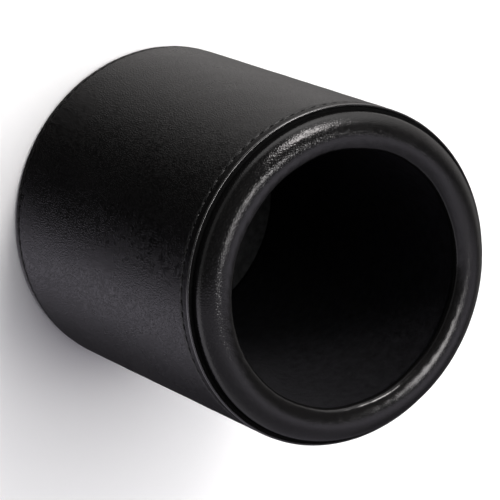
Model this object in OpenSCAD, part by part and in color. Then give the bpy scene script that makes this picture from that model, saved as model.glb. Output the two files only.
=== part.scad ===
// Leather dice cup: a felt-lined board tube in a stitched leather wrap,
// with a leather-covered foam ring rolled over the mouth.
// Millimetres. +Z runs up the cup's axis and out of the mouth.
// The origin is the centre of the underside, so the cup stands on z = 0.

/* [Cup] */
// Outside diameter over the leather wrap
cup_d = 94; // [88:1:104]
// Height from the underside to the crest of the lip
cup_h = 103; // [80:0.5:130]
// Thickness of the whole wall, from the felt to the outside
wall_t = 11.2; // [10.6:0.1:12.2]
// Rise of the lip's crest above the wrap's front edge
lip_rise = 5.5; // [4.5:0.1:6]

/* [Layers] */
// Leather of the wrap, the base and the lip
leather_t = 0.9; // [0.8:0.05:1.1]
// Stiff backing behind the wrap at its front edge
backing_t = 0.85; // [0.7:0.05:1.1]
// Felt of the lining
felt_t = 1; // [0.8:0.1:1.2]
// Card sleeve that carries the felt
card_t = 0.9; // [0.9:0.05:1.1]
// Leather disc under the base
base_leather_t = 1; // [0.8:0.1:1.6]
// Board disc that closes the tube
base_board_t = 2.2; // [1.6:0.1:3]
// Glue line between neighbouring layers
glue = 0.05; // [0.03:0.01:0.08]

/* [Lip] */
// Radius of the lip's wide crown
crown_r = 6.6; // [6.4:0.1:6.8]
// Radius of the roll where the crown turns down behind the wrap
shoulder_r = 2.5; // [2:0.1:3]
// Radius of the bead at the lip's inner edge
bead_r = 1.8; // [1.5:0.1:2]
// Depth of the lip leather tucked behind the wrap
tuck_outside = 13; // [8:1:16]
// Depth of the lip leather tucked behind the lining
tuck_inside = 13; // [9:1:16]
// Height of the foam over the end of the tube
foam_h = 7.5; // [7:0.5:8.5]

/* [Stitching] */
// Thread diameter
thread_d = 0.6; // [0.5:0.05:0.65]
// Distance from one stitch to the next
stitch_pitch = 3.4; // [3:0.1:4.5]
// Length of one stitch
stitch_len = 2.5; // [2:0.1:2.8]
// Distance of the front row behind the wrap's front edge
hem_inset = 3.2; // [2.5:0.1:4.5]
// Height of the base row above the wrap's lower edge
base_inset = 1.2; // [1.2:0.1:3]
// Distance of each seam row from the joint
seam_inset = 2.2; // [1.6:0.1:3]

/* [Hidden] */
$fn = 128;

// Radii, from the outside in
wrap_out = cup_d / 2;
wrap_in = wrap_out - leather_t;
backing_out = wrap_in - glue;
backing_in = backing_out - backing_t;
lip_out = backing_in - glue;
lip_leg_in = lip_out - leather_t;
tube_out = lip_leg_in - glue;
lining_in = wrap_out - wall_t;
lining_out = lining_in + felt_t;
card_in = lining_out + glue;
card_out = card_in + card_t;
tube_in = card_out + glue;
bead_in = lining_in - 0.2;
crest_at = (bead_in + lip_out) / 2 - 0.775;

// Heights, from the underside up
wrap_top = cup_h - lip_rise;
edge_r = 0.4;
board_low = base_leather_t + glue;
board_top = board_low + base_board_t;
floor_low = board_top + glue;
floor_top = floor_low + felt_t;
wrap_low = base_leather_t + 2 * glue;
tube_top = cup_h - foam_h;
outer_leg_low = wrap_top - tuck_outside;
inner_leg_low = cup_h - tuck_inside;

// Centres of the lip's three arcs, in radius and height. The shoulder and the
// bead each touch the crown's arc from inside, so the outline has no corner.
crown = [crest_at, cup_h - crown_r];
shoulder = touching(lip_out - shoulder_r, shoulder_r);
bead = touching(bead_in + bead_r, bead_r);
lining_top = bead[1] - bead_r;

// Stitching
thread_r = thread_d / 2;
thread_at = wrap_out - thread_r;
groove_r = thread_r + 0.06;
joint_w = 0.3;
hem_z = wrap_top - hem_inset;
base_z = wrap_low + base_inset;
ring_count = floor(2 * PI * wrap_out / stitch_pitch);
seam_low = base_z + stitch_pitch;
seam_high = hem_z - stitch_pitch;
seam_count = floor((seam_high - seam_low) / stitch_pitch);
seam_step = (seam_high - seam_low) / seam_count;
seam_az = 90;
seam_turn = asin(seam_inset / wrap_out);

// Centre at radius x of a circle of radius r that touches the crown from inside
function touching(x, r) =
    let (reach = crown_r - r, across = x - crown[0])
    [x, crown[1] + sqrt(reach * reach - across * across)];

// Ring of rectangular section between two radii and two heights
module ring(r_in, r_out, z_low, z_high) {
    rotate_extrude()
        translate([r_in, z_low])
            square([r_out - r_in, z_high - z_low]);
}

// Section from the axis out to r, with its outer corners rounded
module rounded_edge_section(r, z_low, z_high, corner) {
    translate([0, z_low])
        square([r - corner, z_high - z_low]);
    translate([0, z_low + corner])
        square([r, z_high - z_low - 2 * corner]);
    for (z = [z_low + corner, z_high - corner])
        translate([r - corner, z])
            circle(corner, $fn = 48);
}

// Section of the padded lip, standing on z_low and shrunk by skin all round:
// a wide crown between a rounded outer shoulder and a small bead at the mouth
module lip_section(z_low, skin) {
    outer = lip_out - skin;
    inner = card_in + skin;
    polygon([
        [inner, z_low],
        [outer, z_low],
        [outer, shoulder[1]],
        [inner, bead[1]]
    ]);
    translate(shoulder)
        circle(shoulder_r - skin, $fn = 64);
    translate(bead)
        circle(bead_r - skin, $fn = 64);
    intersection() {
        translate(crown)
            circle(crown_r - skin, $fn = 160);
        polygon([
            crown,
            crown + 2 * (shoulder - crown),
            [crown[0], cup_h + crown_r],
            crown + 2 * (bead - crown)
        ]);
    }
}

// One row of stitches around the cup at height z
module stitch_ring(z) {
    sweep = stitch_len / thread_at * 180 / PI;
    for (i = [0:ring_count - 1])
        rotate([0, 0, (i + 0.5) * 360 / ring_count - sweep / 2])
            rotate_extrude(angle = sweep)
                translate([thread_at, z])
                    circle(thread_r, $fn = 16);
}

// Groove that a ring of stitches lies in
module stitch_ring_groove(z) {
    rotate_extrude()
        translate([thread_at, z])
            circle(groove_r, $fn = 32);
}

// Leather disc under the base
module base_leather() {
    color([0.05, 0.05, 0.05])
        rotate_extrude()
            rounded_edge_section(wrap_out - 0.6, 0, base_leather_t, base_leather_t * 0.35);
}

// Board disc that closes the tube
module base_board() {
    color([0.55, 0.45, 0.33])
        translate([0, 0, board_low])
            cylinder(h = base_board_t, r = tube_out);
}

// Thick wound board tube that carries every other layer
module core_tube() {
    color([0.6, 0.5, 0.37])
        ring(tube_in, tube_out, floor_low, tube_top);
}

// Stiff sleeve behind the wrap, thinned where the lip leather is tucked in
module wrap_backing() {
    color([0.12, 0.12, 0.12])
        difference() {
            ring(tube_out + glue, backing_out, board_low, wrap_top - 0.15);
            ring(tube_out, backing_in, outer_leg_low - glue, wrap_top + 1);
        }
}

// Leather wrap, butted at the back, with grooves for its stitching
module wrap_leather() {
    color([0.06, 0.06, 0.06])
        difference() {
            rotate_extrude()
                difference() {
                    rounded_edge_section(wrap_out, wrap_low, wrap_top, edge_r);
                    square([wrap_in, cup_h]);
                }
            stitch_ring_groove(hem_z);
            stitch_ring_groove(base_z);
            rotate([0, 0, seam_az])
                translate([wrap_in - 1, -joint_w / 2, 0])
                    cube([leather_t + 2, joint_w, cup_h]);
            for (side = [-1, 1])
                rotate([0, 0, seam_az + side * seam_turn])
                    translate([thread_at, 0, base_z])
                        cylinder(h = hem_z - base_z, r = groove_r, $fn = 32);
        }
}

// Stitches along the wrap's front edge
module hem_stitching() {
    color([0.08, 0.08, 0.08])
        stitch_ring(hem_z);
}

// Stitches along the wrap's lower edge
module base_stitching() {
    color([0.08, 0.08, 0.08])
        stitch_ring(base_z);
}

// Two upright rows of stitches, one on each side of the joint
module seam_stitching() {
    color([0.08, 0.08, 0.08])
        for (side = [-1, 1])
            rotate([0, 0, seam_az + side * seam_turn])
                for (i = [0:seam_count - 1])
                    translate([thread_at, 0, seam_low + (i + 0.5) * seam_step - stitch_len / 2])
                        cylinder(h = stitch_len, r = thread_r, $fn = 16);
}

// Foam ring over the end of the tube
module lip_foam() {
    color([0.3, 0.3, 0.28])
        rotate_extrude()
            lip_section(tube_top + glue, leather_t + glue);
}

// Leather rolled over the foam and tucked behind the wrap and the lining
module lip_leather() {
    color([0.07, 0.07, 0.07])
        rotate_extrude()
            difference() {
                lip_section(outer_leg_low, 0);
                lip_section(outer_leg_low - 1, leather_t);
                translate([0, outer_leg_low - 1])
                    square([card_in + 2 * leather_t, inner_leg_low - outer_leg_low + 1]);
            }
}

// Card sleeve that carries the felt, up to the tucked leather
module lining_card() {
    color([0.5, 0.42, 0.32])
        ring(card_in, card_out, floor_top + glue, inner_leg_low - glue);
}

// Felt round the inside wall, up to the lip's bead
module lining_wall() {
    color([0.03, 0.03, 0.03])
        ring(lining_in, lining_out, floor_top + glue, lining_top - glue);
}

// Felt disc on the floor inside
module lining_floor() {
    color([0.04, 0.04, 0.04])
        translate([0, 0, floor_low])
            cylinder(h = felt_t, r = card_out);
}

base_leather();
base_board();
core_tube();
wrap_backing();
wrap_leather();
hem_stitching();
base_stitching();
seam_stitching();
lip_foam();
lip_leather();
lining_card();
lining_wall();
lining_floor();
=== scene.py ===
"""Looks for the leather dice cup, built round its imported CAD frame. Metres, +Z out of the mouth."""
import math

import bpy
import numpy as np
from mathutils import Matrix, Vector


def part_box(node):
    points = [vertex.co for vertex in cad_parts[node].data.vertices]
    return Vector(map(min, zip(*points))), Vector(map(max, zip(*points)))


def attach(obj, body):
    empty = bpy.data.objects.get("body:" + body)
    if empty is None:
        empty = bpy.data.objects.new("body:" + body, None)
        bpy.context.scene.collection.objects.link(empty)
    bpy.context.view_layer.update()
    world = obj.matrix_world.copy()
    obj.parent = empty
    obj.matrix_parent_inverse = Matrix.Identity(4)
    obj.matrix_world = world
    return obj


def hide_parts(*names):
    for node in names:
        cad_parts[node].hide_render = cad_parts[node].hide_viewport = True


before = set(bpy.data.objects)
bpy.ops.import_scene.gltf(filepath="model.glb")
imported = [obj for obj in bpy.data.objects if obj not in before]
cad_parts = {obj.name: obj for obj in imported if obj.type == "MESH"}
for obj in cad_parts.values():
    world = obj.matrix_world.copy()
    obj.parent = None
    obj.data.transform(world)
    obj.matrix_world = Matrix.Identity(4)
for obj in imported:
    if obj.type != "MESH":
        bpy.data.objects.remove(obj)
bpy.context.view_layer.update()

MM = 0.001
SEED = 7


# ---------------------------------------------------------------- sizes from the frame

def radii(node):
    """The smallest and largest distance of a node's vertices from the cup's axis."""
    points = np.array([v.co[:2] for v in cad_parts[node].data.vertices])
    reach = np.hypot(points[:, 0], points[:, 1])
    return float(reach.min()), float(reach.max())


def span(node):
    """The lowest and highest z of a node."""
    low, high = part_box(node)
    return float(low[2]), float(high[2])


wrap_in, wrap_out = radii("wrap_leather")
wrap_low, wrap_top = span("wrap_leather")
base_out = radii("base_leather")[1]
base_top = span("base_leather")[1]
lip_in, lip_out = radii("lip_leather")
lip_low, lip_top = span("lip_leather")
lining_in, lining_out = radii("lining_wall")
lining_low, lining_top = span("lining_wall")
floor_out = radii("lining_floor")[1]
floor_low, floor_top = span("lining_floor")
hem_span = span("hem_stitching")
base_span = span("base_stitching")
seam_span = span("seam_stitching")
hem_z = sum(hem_span) / 2
base_z = sum(base_span) / 2
thread_r = (hem_span[1] - hem_span[0]) / 2
seam_half = float(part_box("seam_stitching")[1][0]) - thread_r

leather_t = wrap_out - wrap_in

# Driving sizes of the CAD model that can't be read off its nodes' boxes
crown_r = 6.6 * MM
shoulder_r = 2.5 * MM
bead_r = 1.8 * MM
tuck_inside = 13 * MM
crest_at = (lip_in + lip_out) / 2 - 0.775 * MM
stitch_pitch = 3.4 * MM
stitch_len = 2.5 * MM
seam_angle = math.pi / 2

# Stitches in a row round the cup and in a row along the joint
ring_count = int(2 * math.pi * wrap_out / stitch_pitch)
seam_count = int((seam_span[1] - seam_span[0]) / stitch_pitch + 0.5)
seam_low = base_z + stitch_pitch
seam_high = hem_z - stitch_pitch
seam_step = (seam_high - seam_low) / seam_count


# ---------------------------------------------------------------- noise and meshes

def waves(seed, count, lowest, highest):
    """Seeded sine terms, each (turns round the cup, waves along z per metre, phase)."""
    rng = np.random.default_rng(SEED + seed)
    turns = rng.integers(lowest, highest + 1, count)
    along = rng.uniform(-1, 1, count) * highest / (2 * math.pi * wrap_out)
    phase = rng.uniform(0, 2 * math.pi, count)
    return turns, along, phase


def ripple(terms, angle, z):
    """Smooth noise from -1 to 1 that closes on itself round the cup."""
    turns, along, phase = terms
    total = np.zeros(np.broadcast(angle, z).shape)
    for k, a, p in zip(turns, along, phase):
        total = total + np.sin(k * angle + 2 * math.pi * a * z + p)
    return total / math.sqrt(len(turns)) / 1.6


def dip(distance, depth, width):
    """How far a smooth dip lowers the leather at a distance from the dip's middle."""
    return depth * np.exp(-(distance / width) ** 2)


def arc(centre, radius, start, end, steps):
    """Points (r, z) along an arc, angles in degrees."""
    turn = np.radians(np.linspace(start, end, steps))
    return [(centre[0] + radius * math.cos(t), centre[1] + radius * math.sin(t)) for t in turn]


def line(start, end, step):
    """Points (r, z) from start up to but not including end, about step apart."""
    start, end = np.array(start), np.array(end)
    count = max(1, int(round(np.hypot(*(end - start)) / step)))
    return [tuple(start + (end - start) * i / count) for i in range(count)]


def mesh_object(name, vertices, faces, material, smooth=True):
    """A new mesh object in the scene with one material."""
    mesh = bpy.data.meshes.new(name)
    mesh.from_pydata([tuple(map(float, v)) for v in vertices], [], faces)
    mesh.validate()
    mesh.update()
    mesh.polygons.foreach_set("use_smooth", [smooth] * len(mesh.polygons))
    piece = bpy.data.objects.new(name, mesh)
    bpy.context.scene.collection.objects.link(piece)
    mesh.materials.append(material)
    return piece


def lathe(name, profile, angles, material, shape=None):
    """Turns a closed (r, z) outline round +Z. shape(angle, r, z) may move its points."""
    profile = np.array(profile)
    angle = np.array(angles)[:, None]
    r = np.repeat(profile[None, :, 0], len(angles), axis=0)
    z = np.repeat(profile[None, :, 1], len(angles), axis=0)
    if shape:
        r, z = shape(angle, r, z)
    x = r * np.cos(angle)
    y = r * np.sin(angle)
    vertices = np.stack([x, y, z], axis=-1).reshape(-1, 3)
    rows, cols = len(angles), len(profile)
    faces = []
    for i in range(rows):
        j = (i + 1) % rows
        for k in range(cols):
            m = (k + 1) % cols
            faces.append((i * cols + k, j * cols + k, j * cols + m, i * cols + m))
    return mesh_object(name, vertices, faces, material)


def disc(name, profile, angles, material, shape=None):
    """Turns an open (r, z) outline whose two ends lie on the axis."""
    inner = np.array(profile[1:-1])
    angle = np.array(angles)[:, None]
    r = np.repeat(inner[None, :, 0], len(angles), axis=0)
    z = np.repeat(inner[None, :, 1], len(angles), axis=0)
    if shape:
        r, z = shape(angle, r, z)
    ring = np.stack([r * np.cos(angle), r * np.sin(angle), z], axis=-1).reshape(-1, 3)
    vertices = np.vstack([ring, [[0, 0, profile[0][1]]], [[0, 0, profile[-1][1]]]])
    rows, cols = len(angles), len(inner)
    first, last = rows * cols, rows * cols + 1
    faces = []
    for i in range(rows):
        j = (i + 1) % rows
        faces.append((first, j * cols, i * cols))
        faces.append((last, i * cols + cols - 1, j * cols + cols - 1))
        for k in range(cols - 1):
            faces.append((i * cols + k, j * cols + k, j * cols + k + 1, i * cols + k + 1))
    return mesh_object(name, vertices, faces, material)


# ---------------------------------------------------------------- materials

def new_material(name, colour, roughness, **sockets):
    """A Principled material; sockets are set on the shader itself."""
    material = bpy.data.materials.new(name)
    material.use_nodes = True
    shader = material.node_tree.nodes["Principled BSDF"]
    shader.inputs["Base Color"].default_value = (*colour, 1)
    shader.inputs["Roughness"].default_value = roughness
    for socket, value in sockets.items():
        shader.inputs[socket.replace("_", " ")].default_value = value
    return material


def node(material, kind, **inputs):
    """Adds a shader node and sets its inputs."""
    made = material.node_tree.nodes.new(kind)
    for name, value in inputs.items():
        made.inputs[name.replace("_", " ")].default_value = value
    return made


def link(material, source, target):
    material.node_tree.links.new(source, target)


def ramp(material, source, low, high, colour_low, colour_high):
    """A colour ramp from colour_low at low to colour_high at high."""
    made = material.node_tree.nodes.new("ShaderNodeValToRGB")
    made.color_ramp.elements[0].position = low
    made.color_ramp.elements[1].position = high
    made.color_ramp.elements[0].color = (*colour_low, 1)
    made.color_ramp.elements[1].color = (*colour_high, 1)
    link(material, source, made.inputs["Fac"])
    return made.outputs["Color"]


def grain(material, place, grain_scale):
    """The leather's height, pebbles between creases with fine noise over them, and its creases alone."""
    warp = node(material, "ShaderNodeTexNoise", Scale=grain_scale * 0.35, Detail=2.0)
    link(material, place, warp.inputs["Vector"])
    shift = node(material, "ShaderNodeVectorMath")
    shift.operation = "MULTIPLY_ADD"
    link(material, warp.outputs["Color"], shift.inputs[0])
    shift.inputs[1].default_value = [0.9 / grain_scale] * 3
    link(material, place, shift.inputs[2])

    pebbles = node(material, "ShaderNodeTexVoronoi", Scale=grain_scale, Randomness=1.0)
    pebbles.feature = "DISTANCE_TO_EDGE"
    link(material, shift.outputs[0], pebbles.inputs["Vector"])
    creases = node(material, "ShaderNodeMapRange", From_Min=0.0, From_Max=0.42)
    creases.interpolation_type = "SMOOTHSTEP"
    link(material, pebbles.outputs["Distance"], creases.inputs["Value"])
    fine = node(material, "ShaderNodeTexNoise", Scale=grain_scale * 3.2, Detail=3.0, Roughness=0.65)
    link(material, place, fine.inputs["Vector"])
    height = node(material, "ShaderNodeMath")
    height.operation = "MULTIPLY_ADD"
    link(material, fine.outputs["Fac"], height.inputs[0])
    height.inputs[1].default_value = 0.2
    link(material, creases.outputs["Result"], height.inputs[2])
    return height.outputs[0], creases.outputs["Result"]


def fade_inwards(material, place, smooth_in):
    """A strength of 1 that falls to 0.3 nearer the cup's axis than smooth_in."""
    flat = node(material, "ShaderNodeVectorMath")
    flat.operation = "MULTIPLY"
    link(material, place, flat.inputs[0])
    flat.inputs[1].default_value = (1, 1, 0)
    reach = node(material, "ShaderNodeVectorMath")
    reach.operation = "LENGTH"
    link(material, flat.outputs[0], reach.inputs[0])
    fade = node(
        material, "ShaderNodeMapRange",
        From_Min=smooth_in - 0.5 * MM, From_Max=smooth_in + 1.2 * MM, To_Min=0.3
    )
    link(material, reach.outputs["Value"], fade.inputs["Value"])
    return fade.outputs["Result"]


def leather(name, colour, worn, roughness, grain_scale, grain_height, smooth_in=0.0, **sockets):
    """Fine-grained leather whose colour and gloss vary slowly.

    The grain is pulled smooth nearer the cup's axis than smooth_in.
    """
    material = new_material(name, colour, roughness, **sockets)
    shader = material.node_tree.nodes["Principled BSDF"]
    place = node(material, "ShaderNodeTexCoord").outputs["Object"]

    height, creases = grain(material, place, grain_scale)
    relief = node(material, "ShaderNodeBump", Strength=1.0, Distance=grain_height)
    link(material, height, relief.inputs["Height"])
    if smooth_in:
        link(material, fade_inwards(material, place, smooth_in), relief.inputs["Strength"])
    link(material, relief.outputs["Normal"], shader.inputs["Normal"])

    cloud = node(material, "ShaderNodeTexNoise", Scale=38.0, Detail=4.0, Roughness=0.6)
    link(material, place, cloud.inputs["Vector"])
    tone = ramp(material, cloud.outputs["Fac"], 0.35, 0.7, colour, worn)
    # Painted shade: the creases between the pebbles are painted darker than the pebbles.
    dark = tuple(c * 0.55 for c in colour)
    mix = node(material, "ShaderNodeMix")
    mix.data_type = "RGBA"
    link(material, creases, mix.inputs["Factor"])
    mix.inputs["A"].default_value = (*dark, 1)
    link(material, tone, mix.inputs["B"])
    link(material, mix.outputs["Result"], shader.inputs["Base Color"])

    gloss = node(
        material, "ShaderNodeMapRange",
        From_Min=0.3, From_Max=0.75, To_Min=roughness * 0.9, To_Max=roughness * 1.15
    )
    link(material, cloud.outputs["Fac"], gloss.inputs["Value"])
    link(material, gloss.outputs["Result"], shader.inputs["Roughness"])
    return material


def felt(name, colour, pale):
    """Matt felt: short tangled fibres with a soft sheen."""
    material = new_material(
        name, colour, 1.0, Sheen_Weight=0.02, Sheen_Roughness=0.5, Specular_IOR_Level=0.05
    )
    shader = material.node_tree.nodes["Principled BSDF"]
    place = node(material, "ShaderNodeTexCoord").outputs["Object"]
    fibres = node(material, "ShaderNodeTexNoise", Scale=2600.0, Detail=5.0, Roughness=0.75, Distortion=1.6)
    link(material, place, fibres.inputs["Vector"])
    clumps = node(material, "ShaderNodeTexNoise", Scale=420.0, Detail=3.0)
    link(material, place, clumps.inputs["Vector"])
    total = node(material, "ShaderNodeMath")
    total.operation = "MULTIPLY_ADD"
    link(material, clumps.outputs["Fac"], total.inputs[0])
    total.inputs[1].default_value = 0.7
    link(material, fibres.outputs["Fac"], total.inputs[2])
    relief = node(material, "ShaderNodeBump", Strength=0.9, Distance=0.0005)
    link(material, total.outputs[0], relief.inputs["Height"])
    link(material, relief.outputs["Normal"], shader.inputs["Normal"])
    tone = ramp(material, total.outputs[0], 0.55, 1.05, colour, pale)
    link(material, tone, shader.inputs["Base Color"])
    return material


def thread(name, colour, pale, **sockets):
    """Waxed thread: a little colour change from ply to ply and a low polish."""
    material = new_material(name, colour, 0.34, Sheen_Weight=0.1, **sockets)
    shader = material.node_tree.nodes["Principled BSDF"]
    place = node(material, "ShaderNodeTexCoord").outputs["Object"]
    fibres = node(material, "ShaderNodeTexNoise", Scale=5200.0, Detail=3.0)
    link(material, place, fibres.inputs["Vector"])
    relief = node(material, "ShaderNodeBump", Strength=0.5, Distance=0.00006)
    link(material, fibres.outputs["Fac"], relief.inputs["Height"])
    link(material, relief.outputs["Normal"], shader.inputs["Normal"])
    tone = ramp(material, fibres.outputs["Fac"], 0.35, 0.7, colour, pale)
    link(material, tone, shader.inputs["Base Color"])
    return material


def board(name, colour, pale, scale, **sockets):
    """Board, foam or a cut edge: speckled, quite matt."""
    material = new_material(name, colour, 0.9, **sockets)
    shader = material.node_tree.nodes["Principled BSDF"]
    place = node(material, "ShaderNodeTexCoord").outputs["Object"]
    speckle = node(material, "ShaderNodeTexNoise", Scale=scale, Detail=6.0, Roughness=0.7)
    link(material, place, speckle.inputs["Vector"])
    relief = node(material, "ShaderNodeBump", Strength=0.6, Distance=0.0002)
    link(material, speckle.outputs["Fac"], relief.inputs["Height"])
    link(material, relief.outputs["Normal"], shader.inputs["Normal"])
    tone = ramp(material, speckle.outputs["Fac"], 0.3, 0.75, colour, pale)
    link(material, tone, shader.inputs["Base Color"])
    return material


# Black leather fresh and worn, a darker and duller tone of it that paints shade on the band above the hem
# row and lies under the rim's coat, and its pebbles to the metre
BLACK = (0.007, 0.0068, 0.0068)
BLACK_WORN = (0.010, 0.0095, 0.0095)
DULL = (0.006, 0.0058, 0.0058)
DULL_WORN = (0.008, 0.0078, 0.0078)
GRAIN = 1450.0

wrap_look = leather("wrap_leather", BLACK, BLACK_WORN, 0.28, GRAIN, 0.00006)
lip_look = leather("lip_leather", BLACK, BLACK_WORN, 0.18, GRAIN, 0.000026, smooth_in=38.6 * MM)
# Painted shade: the band above the hem row is the wrap's leather painted darker, with weaker gloss.
shaded_hem_look = leather("wrap_hem_painted_shade", DULL, DULL_WORN, 0.30, GRAIN, 0.00006, Specular_IOR_Level=0.22)
rim_look = leather(
    "wrap_rim", DULL, DULL_WORN, 0.22, GRAIN, 0.000008,
    Specular_IOR_Level=1.0, Coat_Weight=1.0, Coat_Roughness=0.2
)
# Painted shade: the stitch grooves are the wrap's leather painted darker, with weak gloss.
shaded_groove_look = leather(
    "stitch_groove_painted_shade", (0.003, 0.0029, 0.0029), (0.005, 0.0048, 0.0048), 0.5, GRAIN, 0.00003,
    Specular_IOR_Level=0.1
)
base_look = leather("base_leather", BLACK, BLACK_WORN, 0.45, 1300.0, 0.00002)
# Painted light and shade: the wall and the floor inside are one felt in two tones; the floor's felt is
# painted lighter, as lit, and the wall's darker, as shaded.
shaded_wall_felt = felt("black_felt", (0.0032, 0.0031, 0.0039), (0.0145, 0.0142, 0.0168))
lit_floor_felt = felt("lit_floor_felt", (0.012, 0.012, 0.0122), (0.056, 0.056, 0.057))
thread_look = thread("black_thread", (0.004, 0.004, 0.004), (0.010, 0.010, 0.010))
# Painted shade: the base row's thread is the same thread painted darker, with weak gloss.
shaded_base_thread = thread("shaded_base_thread", (0.002, 0.002, 0.002), (0.005, 0.005, 0.005), Specular_IOR_Level=0.12)
board_look = board("wound_board", (0.30, 0.23, 0.15), (0.45, 0.36, 0.26), 900.0)
backing_look = board(
    "backing_board", (0.0015, 0.0015, 0.0015), (0.004, 0.004, 0.004), 1400.0, Specular_IOR_Level=0.1
)
edge_look = board(
    "cut_edge", (0.0015, 0.0015, 0.0015), (0.006, 0.006, 0.006), 2600.0, Specular_IOR_Level=0.1
)
foam_look = board("foam", (0.10, 0.10, 0.095), (0.2, 0.2, 0.19), 1700.0)


# ---------------------------------------------------------------- wrap

# Depth and width of the dips in the wrap
ROW_DIP = (0.26 * MM, 0.55 * MM)
ROW_SHOULDER = (0.03 * MM, 1.3 * MM)
HOLE_DIP = (0.16 * MM, 0.35 * MM)
EDGE_DIP = (0.05 * MM, 0.35 * MM)
JOINT_DIP = (0.50 * MM, 0.16 * MM)
JOINT_SHOULDER = (0.10 * MM, 0.7 * MM)
SEAM_DIP = (0.24 * MM, 0.5 * MM)
SEAM_SHOULDER = (0.08 * MM, 1.2 * MM)


def seam_offset(angle):
    """Distance along the surface from the wrap's joint."""
    return ((angle - seam_angle + math.pi) % (2 * math.pi) - math.pi) * wrap_out


def wrap_angles():
    """Even steps that keep time with the stitches, and closer ones at the joint."""
    even = np.arange(ring_count * 10) * 2 * math.pi / (ring_count * 10)
    near = np.arange(-3.2, 3.2, 0.11) * MM / wrap_out + seam_angle
    close = np.abs(seam_offset(even)) < 3.3 * MM
    return np.sort(np.concatenate([even[~close], near]))


def wrap_shape(angle, r, z):
    """Stitch grooves, puckers, the joint, and the slow waves of a hand-fitted wrap."""
    outside = np.clip((r - wrap_in) / leather_t, 0, 1)
    lower = 0.10 * MM * np.ones_like(r)
    lower += 0.035 * MM * ripple(slow_waves, angle, z) + 0.022 * MM * ripple(near_waves, angle, z)
    phase = angle * ring_count
    hole = 0.5 + 0.5 * np.cos(phase)
    for row_z in (hem_z, base_z):
        away = z - row_z
        lower += dip(away, *ROW_DIP) * (0.55 + 0.45 * hole)
        lower += dip(away, *ROW_SHOULDER)
        lower += dip(away, *HOLE_DIP) * hole ** 4
    lower += dip(z - (wrap_top - 1.1 * MM), *EDGE_DIP)
    across = seam_offset(angle)
    lower += dip(across, *JOINT_DIP) + dip(across, *JOINT_SHOULDER)
    beat = 0.5 + 0.5 * np.cos(2 * math.pi * (z - seam_span[0]) / seam_step)
    beside_seam = (z > seam_span[0] - 1 * MM) & (z < seam_span[1] + 1 * MM)
    for side in (-1, 1):
        away = across - side * seam_half
        lower += dip(away, *SEAM_DIP) * beside_seam * (0.5 + 0.5 * beat)
        lower += dip(away, *SEAM_SHOULDER) * beside_seam
    return r - lower * outside, z


def wrap_profile():
    """Outline of the wrap's wall, close-set at both stitch rows and both edges."""
    edge = leather_t * 0.45
    outline = [(wrap_in + edge * 0.6, wrap_low)]
    outline += arc((wrap_out - edge, wrap_low + edge), edge, -90, 0, 6)
    stops = [wrap_low + edge, base_z + 2 * MM, hem_z - 2 * MM, wrap_top - edge]
    steps = [0.2 * MM, stitch_pitch / 2, 0.2 * MM]
    for low, high, step in zip(stops[:-1], stops[1:], steps):
        outline += line((wrap_out, low), (wrap_out, high), step)[1:]
    outline += arc((wrap_out - edge, wrap_top - edge), edge, 0, 90, 8)
    outline += [(wrap_out - edge - 0.2 * MM, wrap_top), (wrap_in + edge * 0.3, wrap_top - 0.02 * MM)]
    outline += [(wrap_in, wrap_top - 0.25 * MM)]
    outline += line((wrap_in, wrap_top - 0.3 * MM), (wrap_in, wrap_low + 0.2 * MM), 24 * MM)
    outline += [(wrap_in, wrap_low + 0.2 * MM)]
    return outline


def wrap_zone(across, z):
    """The look of a face of the wrap, from its distance from the axis and its height."""
    if across < wrap_in + 0.1 * MM:
        return wrap_look
    # The faces along both stitch rows take the painted shade of the grooves.
    if min(abs(z - hem_z), abs(z - base_z)) < 0.36 * MM:
        return shaded_groove_look
    if z > wrap_top - 0.1 * MM and across < wrap_out - leather_t * 0.75:
        return edge_look
    if z > wrap_top - 0.1 * MM and across < wrap_out - leather_t * 0.58:
        return shaded_hem_look
    if z > wrap_top - 0.4 * MM:
        return rim_look
    return shaded_hem_look if z > hem_z else wrap_look


slow_waves = waves(1, 14, 1, 9)
near_waves = waves(7, 24, 8, 26)
wrap = lathe("wrap", wrap_profile(), wrap_angles(), wrap_look, wrap_shape)
wrap_looks = [wrap_look, edge_look, shaded_hem_look, rim_look, shaded_groove_look]
for look in wrap_looks[1:]:
    wrap.data.materials.append(look)
for face in wrap.data.polygons:
    zone = wrap_zone(math.hypot(face.center.x, face.center.y), face.center.z)
    face.material_index = wrap_looks.index(zone)
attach(wrap, "root")
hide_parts("wrap_leather")


# ---------------------------------------------------------------- stitches

def stitch_template(length, rings=15, sides=12):
    """One twisted stitch along +X, its top near z = 0 and its ends dipping below."""
    points = []
    for i in range(rings):
        t = i / (rings - 1) * 2 - 1
        x = t * length / 2
        sink = -0.42 * MM * abs(t) ** 5
        size = thread_r * (0.97 - 0.3 * abs(t) ** 6)
        for k in range(sides):
            turn = 2 * math.pi * k / sides
            ply = 1 + 0.10 * math.cos(2 * turn - 9.5 * t)
            points.append((x, size * ply * math.cos(turn), sink + size * ply * math.sin(turn)))
    faces = []
    for i in range(rings - 1):
        for k in range(sides):
            m = (k + 1) % sides
            faces.append((i * sides + k, i * sides + m, (i + 1) * sides + m, (i + 1) * sides + k))
    faces.append(tuple(reversed(range(sides))))
    faces.append(tuple((rings - 1) * sides + k for k in range(sides)))
    return np.array(points), faces


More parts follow.
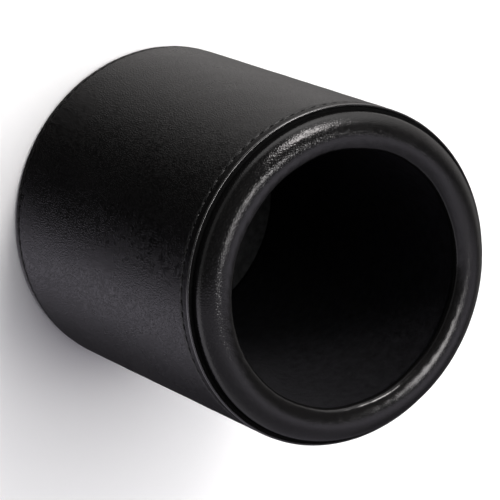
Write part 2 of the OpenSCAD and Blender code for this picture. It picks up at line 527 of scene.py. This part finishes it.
def place_stitches(name, frames, look):
    """Copies the stitch to each frame: (origin, along, out), with a seeded lean and size.

    A stitch that runs round the cup also curves with it.
    """
    rng = np.random.default_rng(SEED + 40)
    points, template = stitch_template(stitch_len + 0.45 * MM)
    vertices, faces = [], []
    for origin, along, out in frames:
        lean = math.radians(7 + rng.uniform(-2.5, 2.5))
        side = np.cross(out, along)
        ahead = along * math.cos(lean) + side * math.sin(lean)
        side = np.cross(out, ahead)
        scale = rng.uniform(0.96, 1.02)
        curved = float(along[2] < 0.5)
        offset = len(vertices)
        for x, y, z in points:
            fall = curved * x * x / (2 * wrap_out)
            vertices.append(origin + ahead * x * scale + side * y + out * (z - fall))
        faces += [tuple(offset + i for i in face) for face in template]
    return mesh_object(name, vertices, faces, look)


def ring_frames(z, depth):
    """Where each stitch of a row round the cup goes, depth thread radii under the surface."""
    frames = []
    for i in range(ring_count):
        angle = (i + 0.5) * 2 * math.pi / ring_count
        out = np.array([math.cos(angle), math.sin(angle), 0])
        along = np.array([-math.sin(angle), math.cos(angle), 0])
        frames.append((out * (wrap_out - thread_r * depth) + np.array([0, 0, z]), along, out))
    return frames


def seam_frames(depth):
    """Where each stitch of the two upright rows goes, depth thread radii under the surface."""
    frames = []
    along = np.array([0, 0, 1.0])
    for side in (-1, 1):
        angle = seam_angle + side * math.asin(seam_half / wrap_out)
        out = np.array([math.cos(angle), math.sin(angle), 0])
        for i in range(seam_count):
            z = seam_low + (i + 0.5) * seam_step
            frames.append((out * (wrap_out - thread_r * depth) + np.array([0, 0, z]), along, out))
    return frames


for stitched, frames, look in (
    ("hem", ring_frames(hem_z, 1.25), thread_look),
    ("base", ring_frames(base_z, 1.6), shaded_base_thread),
    ("seam", seam_frames(1.25), thread_look)
):
    stitches = place_stitches(f"{stitched}_stitches", frames, look)
    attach(stitches, "root")
    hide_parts(f"{stitched}_stitching")


# ---------------------------------------------------------------- lip

def touching(x, radius):
    """Centre, at radius x, of a circle that touches the lip's crown from inside, and its lean."""
    reach = crown_r - radius
    lean = math.asin((x - crest_at) / reach)
    return (x, lip_top - crown_r + reach * math.cos(lean)), math.degrees(lean)


def lip_outline():
    """The lip's leather as two runs of (r, z) points: its skin, from the outer leg in, and its underside."""
    crown = (crest_at, lip_top - crown_r)
    shoulder, out_lean = touching(lip_out - shoulder_r, shoulder_r)
    bead, in_lean = touching(lip_in + bead_r, bead_r)
    leg_in = lining_out + 0.05 * MM
    turn_in = math.degrees(math.asin((leg_in - bead[0]) / bead_r))
    inner_low = lip_top - tuck_inside
    skin_low = wrap_top - 1.5 * MM
    skin = line((lip_out, skin_low), (lip_out, shoulder[1]), 0.4 * MM)
    skin += arc(shoulder, shoulder_r, 0, 90 - out_lean, 9)[:-1]
    skin += arc(crown, crown_r, 90 - out_lean, 90 - in_lean, 38)[:-1]
    skin += arc(bead, bead_r, 90 - in_lean, 270 + turn_in, 26)
    under = line((leg_in, bead[1] - bead_r), (leg_in, inner_low), 2 * MM)[1:]
    under += [(leg_in, inner_low), (leg_in + leather_t, inner_low)]
    under += line((leg_in + leather_t, inner_low), (leg_in + leather_t, bead[1]), 3 * MM)[1:]
    under += arc(crown, crown_r - leather_t, 90 - in_lean, 90 - out_lean, 8)
    under += arc(shoulder, shoulder_r - leather_t, 90 - out_lean, 0, 4)
    under += line((lip_out - leather_t, shoulder[1]), (lip_out - leather_t, lip_low), 4 * MM)[1:]
    under += [(lip_out - leather_t, lip_low), (lip_out, lip_low)]
    under += line((lip_out, lip_low), (lip_out, skin_low), 3 * MM)[1:]
    return np.array(skin), np.array(under)


def lip_start(angle, r, z):
    """How far the skin starts below its outline: slow swells, and small puckers at its two edges."""
    free = np.clip((z - (wrap_top + 0.3 * MM)) / (2.5 * MM), 0, 1)
    inner = np.clip((crest_at - r) / (3.5 * MM), 0, 1)
    outer = np.clip((r - crest_at - 2.4 * MM) / (3 * MM), 0, 1)
    lower = 0.07 * MM + 0.04 * MM * ripple(lip_swells, angle, r * 3)
    lower = lower + 0.024 * MM * ripple(lip_pleats, angle, r * 2) * (0.25 + 1.3 * inner + 0.4 * outer)
    return free * np.clip(lower, 0, 1 * MM)


def stretched_leather(skin, steps, scale=20.0, cap=0.07 * MM):
    """Cloth simulation of the skin, held at both legs and pressed out by the foam.

    It runs on a model scale times life size. Returns how far each point moves in radius and
    height, less the average round the ring, so the lip keeps its section.
    """
    angle = np.arange(steps)[:, None] * 2 * math.pi / steps
    r = np.repeat(skin[None, :, 0], steps, axis=0)
    z = np.repeat(skin[None, :, 1], steps, axis=0)
    z = z - lip_start(angle, r, z)
    start = np.stack([r * np.cos(angle), r * np.sin(angle), z], axis=-1).reshape(-1, 3) * scale
    cols = len(skin)
    faces = [
        (i * cols + k, (i + 1) % steps * cols + k, (i + 1) % steps * cols + k + 1, i * cols + k + 1)
        for i in range(steps) for k in range(cols - 1)
    ]
    sheet = mesh_object("lip_simulation", start, faces, lip_look)
    held = sheet.vertex_groups.new(name="held")
    edges = [i * cols + k for i in range(steps) for k in (0, 1, cols - 2, cols - 1)]
    held.add(edges, 1.0, "REPLACE")
    cloth = sheet.modifiers.new("leather", "CLOTH")
    last_frame = 16
    cloth.point_cache.frame_start = 1
    cloth.point_cache.frame_end = last_frame
    settings = cloth.settings
    settings.quality = 5
    settings.mass = 0.12
    settings.tension_stiffness = 18
    settings.compression_stiffness = 18
    settings.shear_stiffness = 8
    settings.bending_stiffness = 4
    settings.vertex_group_mass = "held"
    settings.use_pressure = True
    settings.uniform_pressure_force = 4
    settings.shrink_min = -0.004
    settings.effector_weights.gravity = 0
    scene = bpy.context.scene
    for frame_number in range(1, last_frame + 1):
        scene.frame_set(frame_number)
    settled = sheet.evaluated_get(bpy.context.evaluated_depsgraph_get()).data
    end = np.array([v.co for v in settled.vertices]) / scale
    scene.frame_set(1)
    bpy.data.objects.remove(sheet)
    start = start / scale
    out = (np.hypot(end[:, 0], end[:, 1]) - np.hypot(start[:, 0], start[:, 1])).reshape(steps, cols)
    up = (end[:, 2] - start[:, 2]).reshape(steps, cols)
    moved = np.clip(np.stack([out - out.mean(axis=0), up - up.mean(axis=0)], axis=-1), -cap, cap)
    for _ in range(3):
        moved = (np.roll(moved, 1, axis=0) + 2 * moved + np.roll(moved, -1, axis=0)) / 4
        moved[:, 1:-1] = (moved[:, :-2] + 2 * moved[:, 1:-1] + moved[:, 2:]) / 4
    return moved


def make_lip():
    """The padded lip: a fine mesh that takes its creases from the simulated skin."""
    skin, under = lip_outline()
    fine, coarse = 920, 320
    angle = np.arange(fine)[:, None] * 2 * math.pi / fine
    r = np.repeat(skin[None, :, 0], fine, axis=0)
    z = np.repeat(skin[None, :, 1], fine, axis=0)
    lower = lip_start(angle, r, z)
    near_mouth = np.clip((crest_at - 1.2 * MM - r) / (2 * MM), 0, 1)
    bulge = near_mouth * 0.2 * MM * (1 + ripple(bead_swells, angle, z * 0))
    crease = np.zeros((fine, len(skin), 2))
    picked = np.unique(np.append(np.arange(0, len(skin), 2), len(skin) - 1))
    moved = stretched_leather(skin[picked], coarse)
    around = np.arange(fine) * coarse / fine
    for part in range(2):
        turned = np.array([np.interp(around, np.arange(coarse + 1), np.append(column, column[0]))
                           for column in moved[:, :, part].T]).T
        crease[:, :, part] = [np.interp(np.arange(len(skin)), picked, row) for row in turned]
    outline = np.vstack([skin, under])

    def shape(_, r_all, z_all):
        r_all, z_all = r_all.copy(), z_all.copy()
        r_all[:, :len(skin)] += crease[:, :, 0] - bulge
        z_all[:, :len(skin)] += crease[:, :, 1] - lower
        return r_all, np.minimum(z_all, lip_top)

    return lathe("lip", outline, angle[:, 0], lip_look, shape)


lip_swells = waves(2, 10, 2, 9)
lip_pleats = waves(3, 22, 24, 70)
bead_swells = waves(8, 9, 3, 13)
lip = make_lip()
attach(lip, "root")
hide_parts("lip_leather")


# ---------------------------------------------------------------- lining and base

def felt_shape(angle, r, z):
    """Felt is never quite flat."""
    inside = np.clip((lining_out - r) / (lining_out - lining_in), 0, 1)
    return r + inside * 0.12 * MM * (ripple(felt_waves, angle, z) * 0.5 + 0.5), z


def lining_profile():
    """Outline of the felt round the wall, with a rounded upper edge."""
    round_r = 0.35 * MM
    points = line((lining_out, lining_top), (lining_out, lining_low), 12 * MM)
    points += [(lining_out, lining_low)]
    points += line((lining_in, lining_low), (lining_in, lining_top - round_r), 1.2 * MM)
    points += arc((lining_in + round_r, lining_top - round_r), round_r, 180, 90, 6)
    return points[::-1]


def floor_profile():
    """Outline of the felt disc on the floor inside."""
    points = [(0, floor_low)]
    points += line((4 * MM, floor_low), (floor_out, floor_low), 8 * MM) + [(floor_out, floor_low)]
    points += line((floor_out, floor_top), (1 * MM, floor_top), 1.1 * MM)
    return points + [(0, floor_top)]


def floor_shape(angle, r, z):
    """Slow swells in the disc's upper side."""
    top = z > (floor_low + floor_top) / 2
    swell = ripple(floor_waves, angle, r) * 0.5 + 0.5
    fade = np.clip((floor_out - r) / (4 * MM), 0, 1) * np.clip(r / (12 * MM), 0, 1)
    return r, z - top * fade * 0.12 * MM * swell


felt_waves = waves(5, 60, 5, 90)
floor_waves = waves(6, 30, 2, 24)
felt_steps = np.arange(420) * 2 * math.pi / 420
lining = lathe("felt_wall", lining_profile(), felt_steps, shaded_wall_felt, felt_shape)
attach(lining, "root")
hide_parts("lining_wall")

felt_floor = disc("felt_floor", floor_profile(), felt_steps, lit_floor_felt, floor_shape)
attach(felt_floor, "root")
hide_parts("lining_floor")


def base_profile():
    """Outline of the leather disc under the base, with rounded edges."""
    edge = base_top * 0.35
    points = [(0, 0.0)] + line((3 * MM, 0.0), (base_out - edge, 0.0), 1.5 * MM)
    points += arc((base_out - edge, edge), edge, -90, 0, 7)
    points += arc((base_out - edge, base_top - edge), edge, 0, 90, 7)
    points += line((base_out - edge - 1 * MM, base_top), (4 * MM, base_top), 8 * MM)
    return points + [(0, base_top)]


base_disc = disc("base_disc", base_profile(), felt_steps, base_look)
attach(base_disc, "root")
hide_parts("base_leather")

# The hidden layers keep their CAD meshes
for name, look in (
    ("core_tube", board_look), ("base_board", board_look), ("lining_card", board_look),
    ("wrap_backing", backing_look), ("lip_foam", foam_look)
):
    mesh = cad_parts[name].data
    mesh.materials.clear()
    mesh.materials.append(look)


# ---------------------------------------------------------------- floor, lights and camera

VIEW_TILT = math.radians(33.9)
VIEW_ROLL = math.radians(111.9)
VIEW_DISTANCE = 0.9756
VIEW_AIM = Vector((0.0023, 0.0010, 0.0519))
LENS = 252.0


def view_matrix():
    """Camera placed at the tilt from the cup's axis and rolled so the cup lies on its side."""
    back = Vector((0, -math.sin(VIEW_TILT), math.cos(VIEW_TILT)))
    right = Vector((1, 0, 0))
    up = back.cross(right)
    axes = Matrix((right, up, back)).transposed()
    turned = axes @ Matrix.Rotation(VIEW_ROLL, 3, "Z")
    return Matrix.Translation(VIEW_AIM + back * VIEW_DISTANCE) @ turned.to_4x4()


camera_data = bpy.data.cameras.new("camera")
camera_data.lens = LENS
camera_data.sensor_width = 36
camera_data.clip_end = 50
camera = bpy.data.objects.new("camera", camera_data)
camera.matrix_world = view_matrix()
bpy.context.scene.collection.objects.link(camera)
bpy.context.scene.camera = camera


def stage_floor():
    """A plain pale floor just under the cup. Only the camera sees it, and it takes the cup's shadow."""
    material = new_material("floor", (0.88, 0.88, 0.88), 1.0)
    material.node_tree.nodes["Principled BSDF"].inputs["Specular IOR Level"].default_value = 0.0
    size = 6.0
    level = -0.1 * MM
    corners = [(-size, -size, level), (size, -size, level), (size, size, level), (-size, size, level)]
    floor = mesh_object("floor", corners, [(0, 1, 2, 3)], material, smooth=False)
    floor.visible_glossy = False
    floor.visible_diffuse = False
    floor.visible_shadow = False


def overhead(strength, lean, turn):
    """Broad light from above that gives no glints. Its shadow falls towards turn, degrees round +Z."""
    data = bpy.data.lights.new("overhead", "SUN")
    data.angle = math.radians(64)
    data.energy = strength
    light = bpy.data.objects.new("overhead", data)
    flat = math.sin(math.radians(lean))
    heading = math.radians(turn)
    travel = Vector((flat * math.cos(heading), flat * math.sin(heading), -math.cos(math.radians(lean))))
    light.rotation_euler = travel.to_track_quat("-Z", "Y").to_euler()
    light.visible_glossy = False
    light.visible_camera = False
    bpy.context.scene.collection.objects.link(light)


# The studio's own directions: the light is set for a cup that lies on its side.
STUDIO_UP = Vector((-0.900, -0.436, 0.0)).normalized()
STUDIO_FRONT = Vector((0.2257, -0.4659, 0.8556)).normalized()
STUDIO_RIGHT = STUDIO_UP.cross(STUDIO_FRONT)


def studio(height, turn):
    """A direction from its height over the studio's horizon and its turn to the right, in degrees."""
    rise, swing = math.radians(height), math.radians(turn)
    flat = STUDIO_FRONT * math.cos(swing) + STUDIO_RIGHT * math.sin(swing)
    return STUDIO_UP * math.sin(rise) + flat * math.cos(rise)


def studio_world():
    """Soft light by direction: a key, a bright backdrop and a pale bench, in a dark room."""
    world = bpy.data.worlds.new("studio")
    world.use_nodes = True
    tree = world.node_tree
    background = tree.nodes["Background"]
    direction = tree.nodes.new("ShaderNodeTexCoord").outputs["Generated"]

    def lobe(axis, wide, tight, colour):
        """colour inside tight degrees of axis, nothing outside wide degrees."""
        dot = tree.nodes.new("ShaderNodeVectorMath")
        dot.operation = "DOT_PRODUCT"
        tree.links.new(direction, dot.inputs[0])
        dot.inputs[1].default_value = Vector(axis).normalized()
        fade = tree.nodes.new("ShaderNodeMapRange")
        fade.interpolation_type = "SMOOTHSTEP"
        fade.inputs["From Min"].default_value = math.cos(math.radians(wide))
        fade.inputs["From Max"].default_value = math.cos(math.radians(tight))
        tree.links.new(dot.outputs["Value"], fade.inputs["Value"])
        tint = tree.nodes.new("ShaderNodeVectorMath")
        tint.operation = "SCALE"
        tint.inputs[0].default_value = colour
        tree.links.new(fade.outputs["Result"], tint.inputs["Scale"])
        return tint.outputs[0]

    def join(first, second, operation):
        """Combines two colours with a vector operation."""
        made = tree.nodes.new("ShaderNodeVectorMath")
        made.operation = operation
        tree.links.new(first, made.inputs[0])
        tree.links.new(second, made.inputs[1])
        return made.outputs[0]

    def shaded(light, *shades):
        """light, darkened inside each shade by that shade's strength."""
        for shade in shades:
            light = join(light, join(full.outputs[0], shade, "SUBTRACT"), "MULTIPLY")
        return light

    full = tree.nodes.new("ShaderNodeVectorMath")
    full.inputs[0].default_value = (1, 1, 1)

    # The pale bench under the cup, with darker parts where the cup and its surroundings hide it
    under = lobe(studio(-79, -32), 89, 40, (0.78, 0.78, 0.78))
    behind = lobe(studio(-26, -170), 35, 16, (0.97, 0.97, 0.97))
    before = lobe(studio(4, -119), 26, 12, (0.82, 0.82, 0.82))
    beside = lobe(studio(-24, 132), 48, 18, (0.90, 0.90, 0.90))
    bench = lobe(-STUDIO_UP, 84.5, 64, (1.22, 1.15, 1.33))
    bench = shaded(bench, under, behind, before, beside)

    # The bright backdrop behind the cup, darker towards the horizon
    horizon = lobe(studio(-16, 180), 22, 8, (0.60, 0.60, 0.60))
    beyond = lobe(studio(-6, 158), 26, 8, (0.75, 0.75, 0.75))
    backdrop = lobe(studio(28, 149), 69, 5, (0.62, 0.597, 0.592))
    backdrop = shaded(backdrop, horizon, beyond)

    # The key lamp, a small lamp in front and a weak panel at the side
    key = lobe(studio(47.5, 49), 13.5, 5, (15.0, 14.3, 14.2))
    front = lobe(studio(0, 45.5), 10, 1, (10.6, 10.3, 10.3))
    side = lobe(studio(58, 84), 36, 8, (0.75, 0.74, 0.74))

    # Soft fields, by the cup's own axes, that show its sides and back in the other views
    top = lobe((-0.85, -0.46, -0.25), 34, 10, (1.0, 0.98, 0.98))
    low = lobe((0.84, -0.48, -0.25), 34, 8, (0.45, 0.44, 0.45))
    above = lobe((0, 0, 1), 84, 66, (1, 1, 1))
    rear = lobe((0, 1, 0), 82, 48, (1, 1, 1))
    belt = shaded(lobe((0, 0, 1), 122, 110, (0.24, 0.235, 0.235)), above, rear)

    total = join(bench, backdrop, "MAXIMUM")
    for lamp in (key, front, side, top, low, belt):
        total = join(total, lamp, "ADD")

    path = tree.nodes.new("ShaderNodeLightPath")
    pick = tree.nodes.new("ShaderNodeMix")
    pick.data_type = "RGBA"
    tree.links.new(path.outputs["Is Camera Ray"], pick.inputs["Factor"])
    tree.links.new(total, pick.inputs["A"])
    pick.inputs["B"].default_value = (1, 1, 1, 1)
    tree.links.new(pick.outputs["Result"], background.inputs["Color"])
    bpy.context.scene.world = world


stage_floor()
overhead(3.0, 27, -12)
studio_world()
bpy.context.scene.view_settings.view_transform = "Standard"
